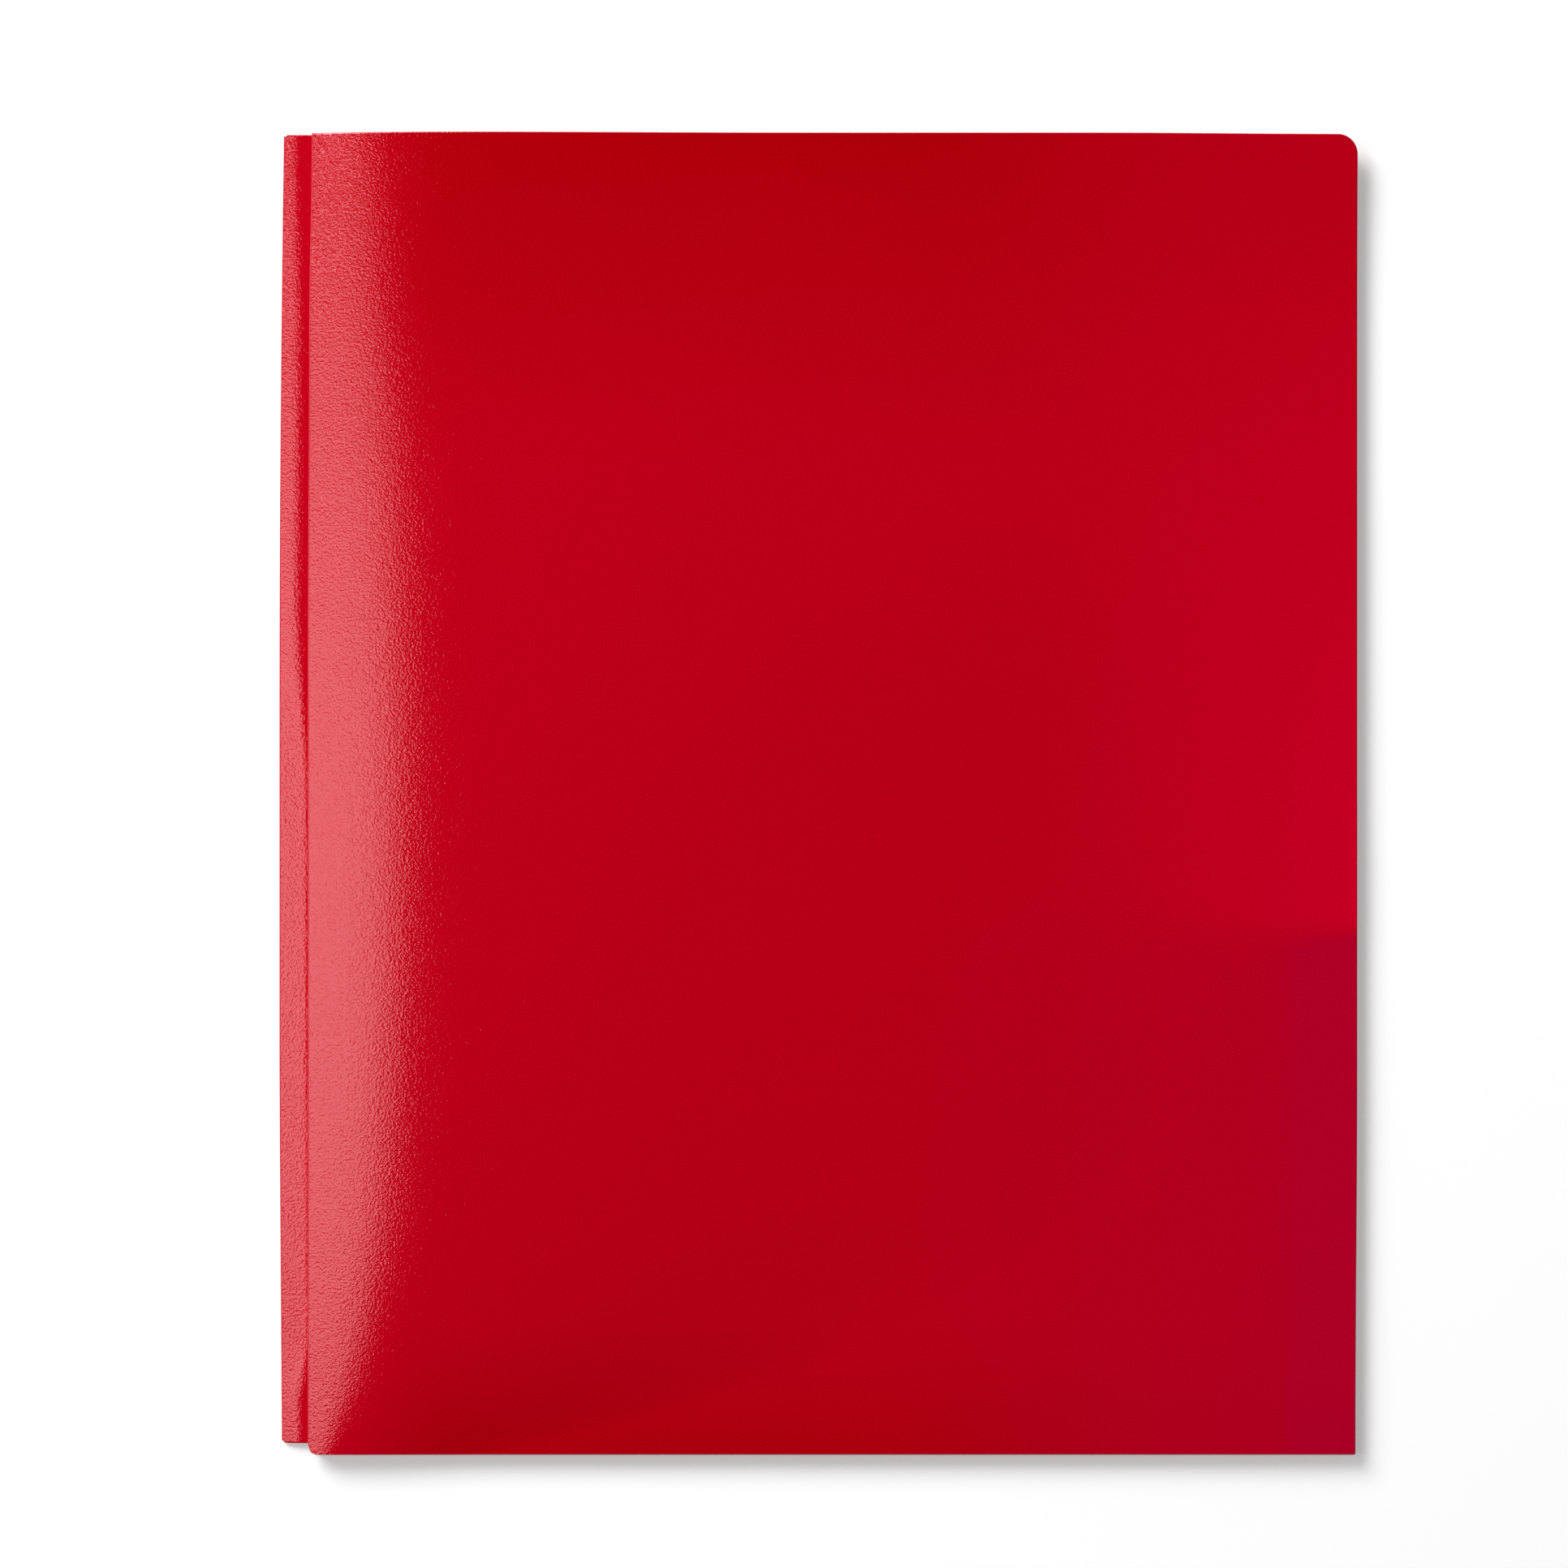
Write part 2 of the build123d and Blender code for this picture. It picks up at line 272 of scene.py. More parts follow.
def sheet_piece(name, middle, across, along, rims, thickness=SHEET, slits=(), creased=False, pale_mark=None):
    """Closed sheet about a middle surface.

    The middle surface is set off both ways along its normal by half the thickness. At a rounded rim the
    thickness falls to nothing along a quarter circle, so the faces meet; at a square rim a wall joins them.
    Quads inside a slit are left out and walled in. A crease is thinned inside its tight bend, in the last
    third across, and paled outside it. Where a pale mark is given, the sheet is paled there as well.
    """
    radius = thickness / 2
    a = with_rims(across, radius, *rims[:2])
    b = with_rims(along, radius, *rims[2:])
    grid_a, grid_b = np.meshgrid(a, b)
    points = np.stack(np.broadcast_arrays(*middle(grid_a, grid_b)), axis=-1)
    normal = np.cross(np.gradient(points, a, axis=1), np.gradient(points, b, axis=0))
    normal /= np.linalg.norm(normal, axis=-1, keepdims=True)
    thin = np.outer(rim_share(b, radius, *rims[2:]), rim_share(a, radius, *rims[:2]))
    offset = normal * (radius * thin)[..., None]
    inner, pale = np.ones_like(grid_a), 1 - thin
    if creased:
        inner = 1 - CREASE_THIN * smooth(0.5, 0.62, grid_a)
        outside = smooth(0.55, 0.68, grid_a) * (1 - smooth(0.9, 1, grid_a))
        pale = np.maximum(pale, CREASE_PALE * outside)
    if pale_mark:
        pale = np.maximum(pale, pale_mark(points[..., X], points[..., Y]))
    corners = np.concatenate((points + offset, points - offset * inner[..., None])).reshape(-1, 3)

    count = grid_a.size
    number = np.arange(count).reshape(grid_a.shape)
    quads = np.stack((number[:-1, :-1], number[:-1, 1:], number[1:, 1:], number[1:, :-1]), axis=-1)
    centre_a, centre_b = np.meshgrid((a[:-1] + a[1:]) / 2, (b[:-1] + b[1:]) / 2)
    kept = np.ones(centre_a.shape, bool)
    for low_a, high_a, low_b, high_b in slits:
        kept &= (centre_a < low_a) | (centre_a > high_a) | (centre_b < low_b) | (centre_b > high_b)
    upper = quads[kept]
    beside = np.pad(kept, 1)
    neighbours = (beside[:-2, 1:-1], beside[1:-1, 2:], beside[2:, 1:-1], beside[1:-1, :-2])
    walls = []
    for side, neighbour in enumerate(neighbours):
        edge = quads[kept & ~neighbour]
        start, end = edge[:, side], edge[:, (side + 1) % 4]
        walls.append(np.stack((end, start, start + count, end + count), axis=-1))
    walls = np.concatenate(walls)
    faces = np.concatenate((upper, upper[:, ::-1] + count, walls))

    mesh = bpy.data.meshes.new(name)
    mesh.from_pydata(corners, [], faces)
    mesh.polygons.foreach_set("use_smooth", np.arange(len(faces)) < 2 * len(upper))
    paled = mesh.attributes.new("pale", "FLOAT", "POINT")
    paled.data.foreach_set("value", np.tile(pale.ravel(), 2).astype(np.float32))
    weld = bmesh.new()
    weld.from_mesh(mesh)
    bmesh.ops.remove_doubles(weld, verts=weld.verts, dist=1e-7)
    bmesh.ops.delete(weld, geom=[v for v in weld.verts if not v.link_faces], context="VERTS")
    for edge in weld.edges:
        edge.smooth = all(face.smooth for face in edge.link_faces)
    weld.to_mesh(mesh)
    weld.free()
    piece = bpy.data.objects.new(name, mesh)
    bpy.context.scene.collection.objects.link(piece)
    return piece


def steps(*runs):
    """Places along joined runs, each given as its start, its end and about how far apart they are."""
    parts = [np.linspace(low, high, max(2, round(abs(high - low) / gap) + 1)) for low, high, gap in runs]
    return np.concatenate([parts[0]] + [part[1:] for part in parts[1:]])


def arc_steps(middle, radius, start, end, count):
    """Places at even turns round an arc, projected on one axis: the middle and a sine of the turn."""
    return middle + radius * np.sin(np.radians(np.linspace(start, end, count)))


def linear(code):
    """Linear colour of an sRGB hex code."""
    channels = np.array([int(code[i:i + 2], 16) for i in (1, 3, 5)]) / 255
    low = channels / 12.92
    high = ((channels + 0.055) / 1.055) ** 2.4
    return (*np.where(channels <= 0.04045, low, high), 1.0)


def add_node(tree, kind, inputs=(), **settings):
    """Adds a node, sets its own settings, and gives each named input a value or another node's output."""
    node = tree.nodes.new(kind)
    for key, value in settings.items():
        setattr(node, key, value)
    for key, value in dict(inputs).items():
        if isinstance(value, bpy.types.NodeSocket):
            tree.links.new(value, node.inputs[key])
        else:
            node.inputs[key].default_value = value
    return node


def new_material(name):
    """Empty node material with its output node."""
    material = bpy.data.materials.new(name)
    material.use_nodes = True
    material.node_tree.nodes.clear()
    return material, material.node_tree


# The real grain is about 0.6 mm across; it is drawn half as coarse again, so that it shows in the render
GRAIN_PITCH = 0.9 * MM
GRAIN_HEIGHT = 0.07 * MM
CLOUD_SIZE = 70 * MM
# Rolling lines on the steel: about as wide and as long as these
LINE_WIDTH = 0.15 * MM
LINE_LENGTH = 6 * MM
# Share of the table's white that the camera sees as glow
CARD_GLOW = 0.36


def embossed_polypropylene():
    """Extruded polypropylene sheet, sand-embossed on rolls.

    A fine satin grain glitters at the edge of a highlight. The red is deep and even, paler where the sheet
    was cut or creased, with painted shade, darker and bluer, where other layers lie behind it, and painted
    light, brighter, where light comes through the single sheet.
    """
    material, tree = new_material("embossed_polypropylene")
    place = add_node(tree, "ShaderNodeTexCoord").outputs["Object"]
    grain = add_node(
        tree, "ShaderNodeTexNoise",
        {"Vector": place, "Scale": 1.7 / GRAIN_PITCH, "Detail": 1.0},
    )
    bump = add_node(
        tree, "ShaderNodeBump",
        {"Height": grain.outputs["Fac"], "Strength": 1.0, "Distance": GRAIN_HEIGHT},
    )
    cloud = add_node(
        tree, "ShaderNodeTexNoise", {"Vector": place, "Scale": 1 / CLOUD_SIZE, "Detail": 1.0},
    )
    body = add_node(
        tree, "ShaderNodeMix",
        {"Factor": cloud.outputs["Fac"], "A": linear("#B50017"), "B": linear("#B80018")},
        data_type="RGBA",
    )
    # Painted shade: darker and bluer where the pocket and tab lie behind the cover
    painted_backing_shade = add_node(
        tree, "ShaderNodeMix",
        {
            "Factor": add_node(tree, "ShaderNodeAttribute", attribute_name="painted_backing_shade").outputs["Fac"],
            "A": body.outputs["Result"], "B": linear("#B20026"),
        },
        data_type="RGBA",
    )
    # The clear attribute carries painted light from light through the single sheet, and painted shade along
    # its top edge and pocket fold
    light_and_shade_mix = add_node(
        tree, "ShaderNodeMix",
        {
            "Factor": add_node(tree, "ShaderNodeAttribute", attribute_name="clear").outputs["Fac"],
            "A": painted_backing_shade.outputs["Result"], "B": linear("#C60023"),
        },
        data_type="RGBA", clamp_factor=False,
    )
    edged = add_node(
        tree, "ShaderNodeMix",
        {
            "Factor": add_node(tree, "ShaderNodeAttribute", attribute_name="pale").outputs["Fac"],
            "A": light_and_shade_mix.outputs["Result"], "B": linear("#CC3444"),
        },
        data_type="RGBA",
    )
    surface = add_node(
        tree, "ShaderNodeBsdfPrincipled",
        {
            "Base Color": edged.outputs["Result"], "Roughness": 0.1, "IOR": 1.49, "Specular IOR Level": 0.9,
            "Specular Tint": linear("#FFC2C8"),
            "Normal": bump.outputs["Normal"],
        },
    )
    add_node(tree, "ShaderNodeOutputMaterial", {"Surface": surface.outputs["BSDF"]})
    return material


def tinned_steel():
    """Thin steel strip, cold rolled and tinned: bright, with fine rolling lines along the strip."""
    material, tree = new_material("tinned_steel")
    place = add_node(tree, "ShaderNodeTexCoord").outputs["Object"]
    along = add_node(
        tree, "ShaderNodeMapping", {"Vector": place, "Scale": (1 / LINE_WIDTH, 1 / LINE_LENGTH, 1)},
    )
    lines = add_node(
        tree, "ShaderNodeTexNoise",
        {"Vector": along.outputs["Vector"], "Scale": 1.0, "Detail": 2.0},
    )
    tone = add_node(
        tree, "ShaderNodeMix",
        {"Factor": lines.outputs["Fac"], "A": linear("#B4B3AE"), "B": linear("#D6D5D0")},
        data_type="RGBA",
    )
    polish = add_node(
        tree, "ShaderNodeMapRange",
        {"Value": lines.outputs["Fac"], "To Min": 0.22, "To Max": 0.38},
    )
    surface = add_node(
        tree, "ShaderNodeBsdfPrincipled",
        {"Base Color": tone.outputs["Result"], "Metallic": 1.0, "Roughness": polish.outputs["Result"]},
    )
    add_node(tree, "ShaderNodeOutputMaterial", {"Surface": surface.outputs["BSDF"]})
    return material


def white_table():
    """White card under the folder. The camera sees a little glow in it, so that lit card is pure white."""
    material, tree = new_material("white_card")
    path = add_node(tree, "ShaderNodeLightPath").outputs
    mirrored = add_node(
        tree, "ShaderNodeMath",
        {0: path["Is Glossy Ray"], 1: path["Is Transmission Ray"]}, operation="MAXIMUM",
    )
    seen = add_node(
        tree, "ShaderNodeMath",
        {0: path["Is Camera Ray"], 1: mirrored.outputs["Value"]}, operation="MAXIMUM",
    ).outputs["Value"]
    card = add_node(tree, "ShaderNodeBsdfDiffuse", {"Color": linear("#FDFDFD")})
    glow = add_node(tree, "ShaderNodeEmission", {"Color": linear("#FFFFFF"), "Strength": seen})
    both = add_node(
        tree, "ShaderNodeMixShader",
        {0: CARD_GLOW, 1: card.outputs["BSDF"], 2: glow.outputs["Emission"]},
    )
    add_node(tree, "ShaderNodeOutputMaterial", {"Surface": both.outputs["Shader"]})
    return material


polypropylene = embossed_polypropylene()
steel = tinned_steel()


def finish_sheet(piece, *nodes):
    """Gives a sheet piece its plastic, and lets it stand for its CAD nodes."""
    piece.data.materials.append(polypropylene)
    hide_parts(*nodes)
    return piece


ROUND, SQUARE = True, False
ROWS = steps((SPINE_BOTTOM, PLEAT_TOP, 2 * MM))


# Front cover
def cover_arch(x, y, fold_end):
    """Height of the front cover over its fold.

    Beside the spine an eased slope rises to a crest as wide as the arch's reach; beyond it an eased fall,
    longer than the reach by a fixed share, ends level. Beyond the arch the free top edge lifts by a square.
    """
    reach = cover_reach(y)
    up = eased_slope(x - fold_end, ARCH_SLOPE, 0, reach)
    fall_end = fold_end + reach * (ARCH_END - FRONT_FOLD_X) / ARCH_REACH
    down = ARCH_SLOPE * reach / 2 * (1 - smooth(fold_end + reach, fall_end, x))
    lift = TOP_LIFT * np.clip(1 - (TOP - y) / TOP_LIFT_RUN, 0, 1) ** 2
    return np.where(x < fold_end + reach, up, down) + lift * smooth(fold_end, fold_end + ARCH_REACH, x)


def fore_edge_drift(y):
    """Sideways drift of the fore edge: a round corner at the top and a slight lean in at the foot."""
    into_corner = np.clip((y - (TOP - FORE_CORNER)) / FORE_CORNER, 0, 1)
    corner = FORE_CORNER * (1 - np.sqrt(1 - into_corner**2))
    lean = FORE_LEAN * (1 - smooth(0, 0.3, (y - BOTTOM) / HEIGHT))
    return -corner - lean


def top_edge_fall(x, y):
    """Fall of the top edge towards the fore edge, which fades out down the cover."""
    return TOP_FALL * smooth(RIGHT - TOP_FALL_RUN, RIGHT, x) * smooth(TOP - TOP_FALL_DEPTH, TOP, y)


def fore_edge_curl(x, y):
    """Upward curl of the fore edge where it leaves the pocket: a square over its run, eased out above."""
    run = np.clip(1 - (RIGHT - x) / CURL_RUN, 0, 1) ** 2
    above = y - POCKET_TOP
    stretch = smooth(0, CURL_START, above) * (1 - smooth(CURL_FADE_START, CURL_FADE_END, above))
    return CURL_HEIGHT * run * stretch


def front_cover_middle(a, y):
    """Cover from its spine fold to the fore edge, its heel cut round at the foot, lifted by the arch."""
    fold_end = front_fold_line(y)[2]
    below = np.clip((HEEL_TOP - y) / (HEEL_TOP - COVER_FOOT), 0, 1)
    heel = HEEL_RUN * (1 - np.sqrt(1 - below**2))
    share = (a - FRONT_FOLD_X) / (RIGHT - FRONT_FOLD_X)
    x = a + (fold_end + heel - FRONT_FOLD_X) * (1 - share) + fore_edge_drift(y) * share
    return x, y - top_edge_fall(x, y), COVER_Z + cover_arch(x, y, fold_end) + fore_edge_curl(x, y)


CORNER_ROWS = arc_steps(TOP - FORE_CORNER, FORE_CORNER, 0, 84, 9)
HEEL_ROWS = arc_steps(HEEL_TOP, HEEL_TOP - COVER_FOOT, -90, 0, 9)
FINE_ROWS_TOP = HEEL_TOP + 18 * MM
FINE_ARCH_END = FRONT_FOLD_X + 44 * MM
COVER_ROWS = np.concatenate((
    HEEL_ROWS,
    steps((HEEL_TOP, FINE_ROWS_TOP, 1 * MM), (FINE_ROWS_TOP, TOP - FORE_CORNER, 2 * MM))[1:-1],
    CORNER_ROWS, [TOP],
))
front_cover = sheet_piece(
    "front_cover_sheet", front_cover_middle,
    steps(
        (FRONT_FOLD_X + COVER_HEM, FINE_ARCH_END, 1 * MM),
        (FINE_ARCH_END, RIGHT - 3 * MM, 2.6 * MM), (RIGHT - 3 * MM, RIGHT, 0.4 * MM),
    ),
    COVER_ROWS, (SQUARE, ROUND, SQUARE, ROUND),
)
finish_sheet(front_cover, "front_cover")
cover_hem = sheet_piece(
    "front_cover_hem", front_cover_middle, steps((FRONT_FOLD_X, FRONT_FOLD_X + COVER_HEM, 0.5 * MM)),
    COVER_ROWS, (SQUARE, SQUARE, SQUARE, ROUND),
)
finish_sheet(cover_hem, "front_spine_fold")
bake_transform(cover_hem)


def pocket_behind(x, y):
    """Share of the pocket behind the cover: an eased step at its top, softer away from the fore edge."""
    soft = POCKET_EDGE_SOFT + POCKET_EDGE_SPREAD * (RIGHT - x)
    return 1 - smooth(POCKET_TOP - soft, POCKET_TOP + soft, y)


def backing_shade_share(x, y):
    """Share of painted shade where the layers behind dim the cover near the fore edge: half pocket and half
    tab.
    """
    near_edge = 0.5 * smooth(RIGHT - BACKING_SHADE_RUN, TAB_LEFT, x)
    tab = 0.5 * smooth(TAB_LEFT - 1 * MM, TAB_LEFT + 1 * MM, x)
    return pocket_behind(x, y) * (near_edge + tab)


def painted_light_and_shade_share(x, y):
    """Share of painted light, from light through the single sheet, that brightens the cover; below nought,
    it is painted shade that darkens it.

    It is brightest just above the pocket at the fore edge, by a power of the way there. Light leaks out
    along the open top edge, and none comes through along the pocket fold, so both are darker, in even
    falls, though less so near the fore edge.
    """
    near_edge = np.clip(1 - (RIGHT - x) / THROUGH_LIGHT_RUN, 0, 1) ** 1.2
    bright = (1 - pocket_behind(x, y)) * (1 - THROUGH_LIGHT_FADE * smooth(POCKET_TOP, TOP, y)) * near_edge
    top_edge = np.clip(1 - (TOP - y) / TOP_SHADE_RUN, 0, 1)
    fold_edge = np.clip(1 - (y - BOTTOM) / FOLD_SHADE_RUN, 0, 1)
    past_fold = smooth(FRONT_FOLD_X + 8 * MM, FRONT_FOLD_X + 30 * MM, x)
    beside = past_fold * (1 - FORE_SHADE_LOSS * smooth(20 * MM, 90 * MM, x))
    return bright - beside * (TOP_SHADE * top_edge + FOLD_SHADE * fold_edge)


def mark(piece, name, share):
    """Stores a share worked out from each vertex's place in the sheet as an attribute of the piece."""
    place = np.empty(len(piece.data.vertices) * 3, np.float32)
    piece.data.vertices.foreach_get("co", place)
    place = place.reshape(-1, 3)
    values = share(place[:, X], place[:, Y]).astype(np.float32)
    piece.data.attributes.new(name, "FLOAT", "POINT").data.foreach_set("value", values)


# Painted shade where the pocket and tab lie behind the cover
mark(front_cover, "painted_backing_shade", backing_shade_share)
# Painted light through the single sheet, and painted shade along its top edge and pocket fold
mark(front_cover, "clear", painted_light_and_shade_share)
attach(front_cover, "front")


# Front spine fold
def front_fold_middle(turn, y_share):
    """Crease from the pleat to the cover, its foot rounded off towards the pocket fold."""
    y = SPINE_BOTTOM + y_share * (PLEAT_TOP - SPINE_BOTTOM)
    x, z = crease(turn, front_fold_line(y)[0], FRONT_PANEL_Z, COVER_Z, ARCH_LEAN)
    drop = (SPINE_BOTTOM - HEEL_TOP) * smooth(0.6, 1, turn)
    grow = (TOP - PLEAT_TOP) * smooth(0.2, 0.6, turn)
    return x, y - drop * (1 - y_share) + grow * y_share, z


FOLD_TURNS = np.concatenate((
    np.linspace(0, 1 / 3, 7), np.linspace(1 / 3, 2 / 3, 5)[1:], np.linspace(2 / 3, 1, 9)[1:],
))
front_fold = sheet_piece(
    "front_spine_fold_roll", front_fold_middle, FOLD_TURNS, np.linspace(0, 1, 150),
    (SQUARE, SQUARE, SQUARE, SQUARE), creased=True,
)
finish_sheet(front_fold, "front_spine_fold")
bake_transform(front_fold)


# Spine pleat
BACK_RUN = RIDGE_X - LEFT
TURN_RUN = np.pi * RIDGE_RADIUS
FRONT_RUN = RIDGE_X - FRONT_FOLD_X
PLEAT_RUN = BACK_RUN + TURN_RUN + FRONT_RUN


def pale_tick(x, y):
    """Share of a small pale tick in the strip's left edge: a slanting bell that fades across it."""
    across = x - back_fold_line(y)[0]
    along = (y - TICK_Y + TICK_SLANT * across) / TICK_LENGTH
    return np.exp(-(along**2) - (across / TICK_REACH) ** 2)


def strip_height(x, y):
    """Height of the back panel: it rises to a crest beside the cover, then settles to its flat part."""
    start_x = back_fold_line(y)[2]
    slope, hold, level = strip_shape(y)
    rising = STRIP_START_Z + eased_slope(x - start_x, slope, hold, level)
    crest_z = STRIP_START_Z + slope * (hold + level) / 2
    crest_x = start_x + level
    settling = crest_z + (BACK_PANEL_Z - crest_z) * smooth(crest_x, crest_x + STRIP_SETTLE, x)
    return np.where(x < crest_x, rising, settling)


def pleat_middle(run, y):
    """Back panel, ridge and front panel in one run: along the strip, half round the ridge and back."""
    start_x = back_fold_line(y)[2]
    back_x = start_x + run / BACK_RUN * (RIDGE_X - start_x)
    angle = np.clip((run - BACK_RUN) / RIDGE_RADIUS, 0, np.pi)
    ridge_x = RIDGE_X + RIDGE_RADIUS * np.sin(angle)
    ridge_z = BACK_PANEL_Z + RIDGE_RADIUS * (1 - np.cos(angle))
    back_along = run - BACK_RUN - TURN_RUN
    fold_drift = front_fold_line(y)[1] - FRONT_FOLD_X
    front_x = RIDGE_X - back_along + fold_drift * np.clip(back_along / FRONT_RUN, 0, 1) ** 4
    on_back = run <= BACK_RUN
    on_front = back_along > 0
    x = np.where(on_back, back_x, np.where(on_front, front_x, ridge_x))
    z = np.where(on_back, strip_height(x, y), np.where(on_front, FRONT_PANEL_Z, ridge_z))
    return x, y + np.where(on_back, strip_corner(x, y), 0), z


PLACES = ("top", "middle", "bottom")
slit_runs, slit_rows, slits = [], [], []
for name in PLACES:
    low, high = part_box(f"tang_{name}_upper")
    neck_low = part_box(f"tang_{name}_lower")[1][Y]
    slit_from = BACK_RUN + TURN_RUN + RIDGE_X - high[X] - SLIT_CLEARANCE
    slit_to = BACK_RUN + TURN_RUN + RIDGE_X - low[X] + SLIT_CLEARANCE
    slit_runs += [slit_from, slit_to]
    slit_rows += [neck_low - SLIT_LENGTH, low[Y] + SLIT_LENGTH]
    slits.append((slit_from, slit_to, neck_low - SLIT_LENGTH, low[Y] + SLIT_LENGTH))
pleat_runs = np.concatenate((
    steps((STRIP_HEM, 8 * MM, 0.4 * MM), (8 * MM, BACK_RUN, 1.5 * MM)),
    BACK_RUN + TURN_RUN * np.linspace(0, 1, 13)[1:],
    BACK_RUN + TURN_RUN + steps((0, FRONT_RUN - PANEL_HEM, 1.5 * MM))[1:],
))
tick_rows = TICK_Y + steps((-1.5 * MM, 1 * MM, 0.125 * MM))
pleat_rows = np.unique(np.concatenate((ROWS, slit_rows, tick_rows)))
pleat = sheet_piece(
    "spine_pleat_sheet", pleat_middle, np.unique(np.concatenate((pleat_runs, slit_runs))),
    pleat_rows, (SQUARE, SQUARE, ROUND, SQUARE), slits=slits, pale_mark=pale_tick,
)
finish_sheet(pleat, "back_pleat_panel", "pleat_ridge", "front_pleat_panel")
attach(pleat, "pleat")
panel_hem = sheet_piece(
    "front_panel_hem", pleat_middle, steps((PLEAT_RUN - PANEL_HEM, PLEAT_RUN, 0.3 * MM)),
    pleat_rows, (SQUARE, SQUARE, ROUND, SQUARE),
)
finish_sheet(panel_hem, "front_spine_fold")
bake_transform(panel_hem)
strip_hem = sheet_piece(
    "spine_strip_hem", pleat_middle, steps((0, STRIP_HEM, 0.4 * MM)),
    pleat_rows, (SQUARE, SQUARE, ROUND, SQUARE), pale_mark=pale_tick,
)
finish_sheet(strip_hem, "back_spine_fold")
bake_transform(strip_hem)


# Back spine fold
def back_fold_middle(turn, y):
    """Crease from the back cover to the rising strip."""
    x, z = crease(turn, back_fold_line(y)[0], HALF, STRIP_START_Z, np.arctan(strip_shape(y)[0]))
    return x, y + strip_corner(x, y), z


back_fold = sheet_piece(
    "back_spine_fold_roll", back_fold_middle, FOLD_TURNS, ROWS,
    (SQUARE, SQUARE, ROUND, SQUARE), creased=True,
)
finish_sheet(back_fold, "back_spine_fold")
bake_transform(back_fold)


# Back cover
def back_cover_middle(a, y):
    """Flat panel from the back fold to the fore edge, its heel stepping in to the pocket fold below."""
    below = np.clip((SPINE_BOTTOM - y) / (SPINE_BOTTOM - COVER_FOOT), 0, 1)
    relief = POCKET_LEFT - (POCKET_LEFT - FRONT_FOLD_X) * np.sqrt(1 - below**2)
    edge = np.where(y < SPINE_BOTTOM, relief, back_fold_line(y)[1])
    share = (a - LEFT) / (RIGHT - LEFT)
    return edge + share * (RIGHT + fore_edge_drift(y) - edge), y, np.full_like(a, HALF)


back_rows = np.concatenate((
    steps((COVER_FOOT, SPINE_BOTTOM - 0.05 * MM, 0.5 * MM)),
    steps((SPINE_BOTTOM, TOP - FORE_CORNER, 4 * MM))[:-1], CORNER_ROWS, [TOP],
))
back_cover = sheet_piece(
    "back_cover_sheet", back_cover_middle, steps((LEFT, RIGHT, 4 * MM)), back_rows,
    (SQUARE, ROUND, SQUARE, ROUND),
)
finish_sheet(back_cover, "back_cover")
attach(back_cover, "back")


# Pockets
FOLD_START = FRONT_FOLD_LEFT + HALF + HEEL_RUN


def pocket_pieces(half, cover_body):
    """Flap, bottom fold and welded tab of one pocket, each at the height of its CAD node."""
    flap_z = middle_of(f"{half}_pocket", Z)
    tab_z = middle_of(f"{half}_pocket_tab", Z)
    cover_z = 2 * middle_of(f"{half}_pocket_fold", Z) - flap_z
    way = np.sign(cover_z - flap_z)
    arched = half == "front"

    def flap_middle(a, y):
        """Flat flap with a round corner at the top of its inner edge."""
        into_corner = np.clip((y - (POCKET_TOP - POCKET_CORNER)) / POCKET_CORNER, 0, 1)
        corner = POCKET_CORNER * (1 - np.sqrt(1 - into_corner**2))
        share = (POCKET_RIGHT - a) / (POCKET_RIGHT - POCKET_INNER)
        return a + corner * share, y, np.full_like(a, flap_z)

    corner_rows = arc_steps(POCKET_TOP - POCKET_CORNER, POCKET_CORNER, 0, 84, 9)
    rows = np.concatenate((
        steps((FLAP_FOOT, POCKET_TOP - POCKET_CORNER, 3 * MM))[:-1], corner_rows, [POCKET_TOP],
    ))
    flap = sheet_piece(
        f"{half}_pocket_flap", flap_middle, steps((POCKET_INNER, POCKET_RIGHT, 3 * MM)), rows,
        (ROUND, ROUND, SQUARE, ROUND),
    )
    finish_sheet(flap, f"{half}_pocket")
    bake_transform(flap)

    def fold_middle(turn, x):
        """Crease along the bottom edge, its depth beyond the cover tapering to nothing at the spine end."""
        arch = cover_arch(x, COVER_FOOT, front_fold_line(COVER_FOOT)[2]) * arched
        inward, height = crease(turn, 0, way * flap_z, way * cover_z + arch, 0)
        away = np.clip((POCKET_LEFT - x) / (POCKET_LEFT - FOLD_START), 0, 1)
        depth = np.maximum(COVER_FOOT - (BOTTOM + HALF + inward), 0)
        y = BOTTOM + HALF + inward + depth * (1 - np.sqrt(1 - away**2))
        return x, y, way * height

    fold = sheet_piece(
        f"{half}_pocket_fold_roll", fold_middle, FOLD_TURNS,
        steps((FOLD_START, POCKET_LEFT, 0.2 * MM), (POCKET_LEFT, POCKET_RIGHT, 3 * MM)),
        (SQUARE, SQUARE, ROUND, ROUND), creased=True,
    )
    finish_sheet(fold, f"{half}_pocket_fold")
    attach(fold, cover_body)

    def tab_middle(a, y_share):
        """Narrow tab whose top edge slants down from the fore edge."""
        slant = (POCKET_RIGHT - a) / TAB_WIDTH * (POCKET_TOP - TAB_TOP - TAB_WIDTH)
        y = POCKET_FOLD_Y + y_share / (TAB_TOP - POCKET_FOLD_Y) * (TAB_TOP + slant - POCKET_FOLD_Y)
        return a, y, np.full_like(a, tab_z)

    tab = sheet_piece(
        f"{half}_pocket_side_tab", tab_middle, steps((TAB_LEFT, POCKET_RIGHT, 1.5 * MM)),
        steps((0, TAB_TOP - POCKET_FOLD_Y, 3 * MM)), (ROUND, ROUND, ROUND, ROUND),
    )
    finish_sheet(tab, f"{half}_pocket_tab")
    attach(tab, cover_body)


pocket_pieces("front", "front")
pocket_pieces("back", "back")


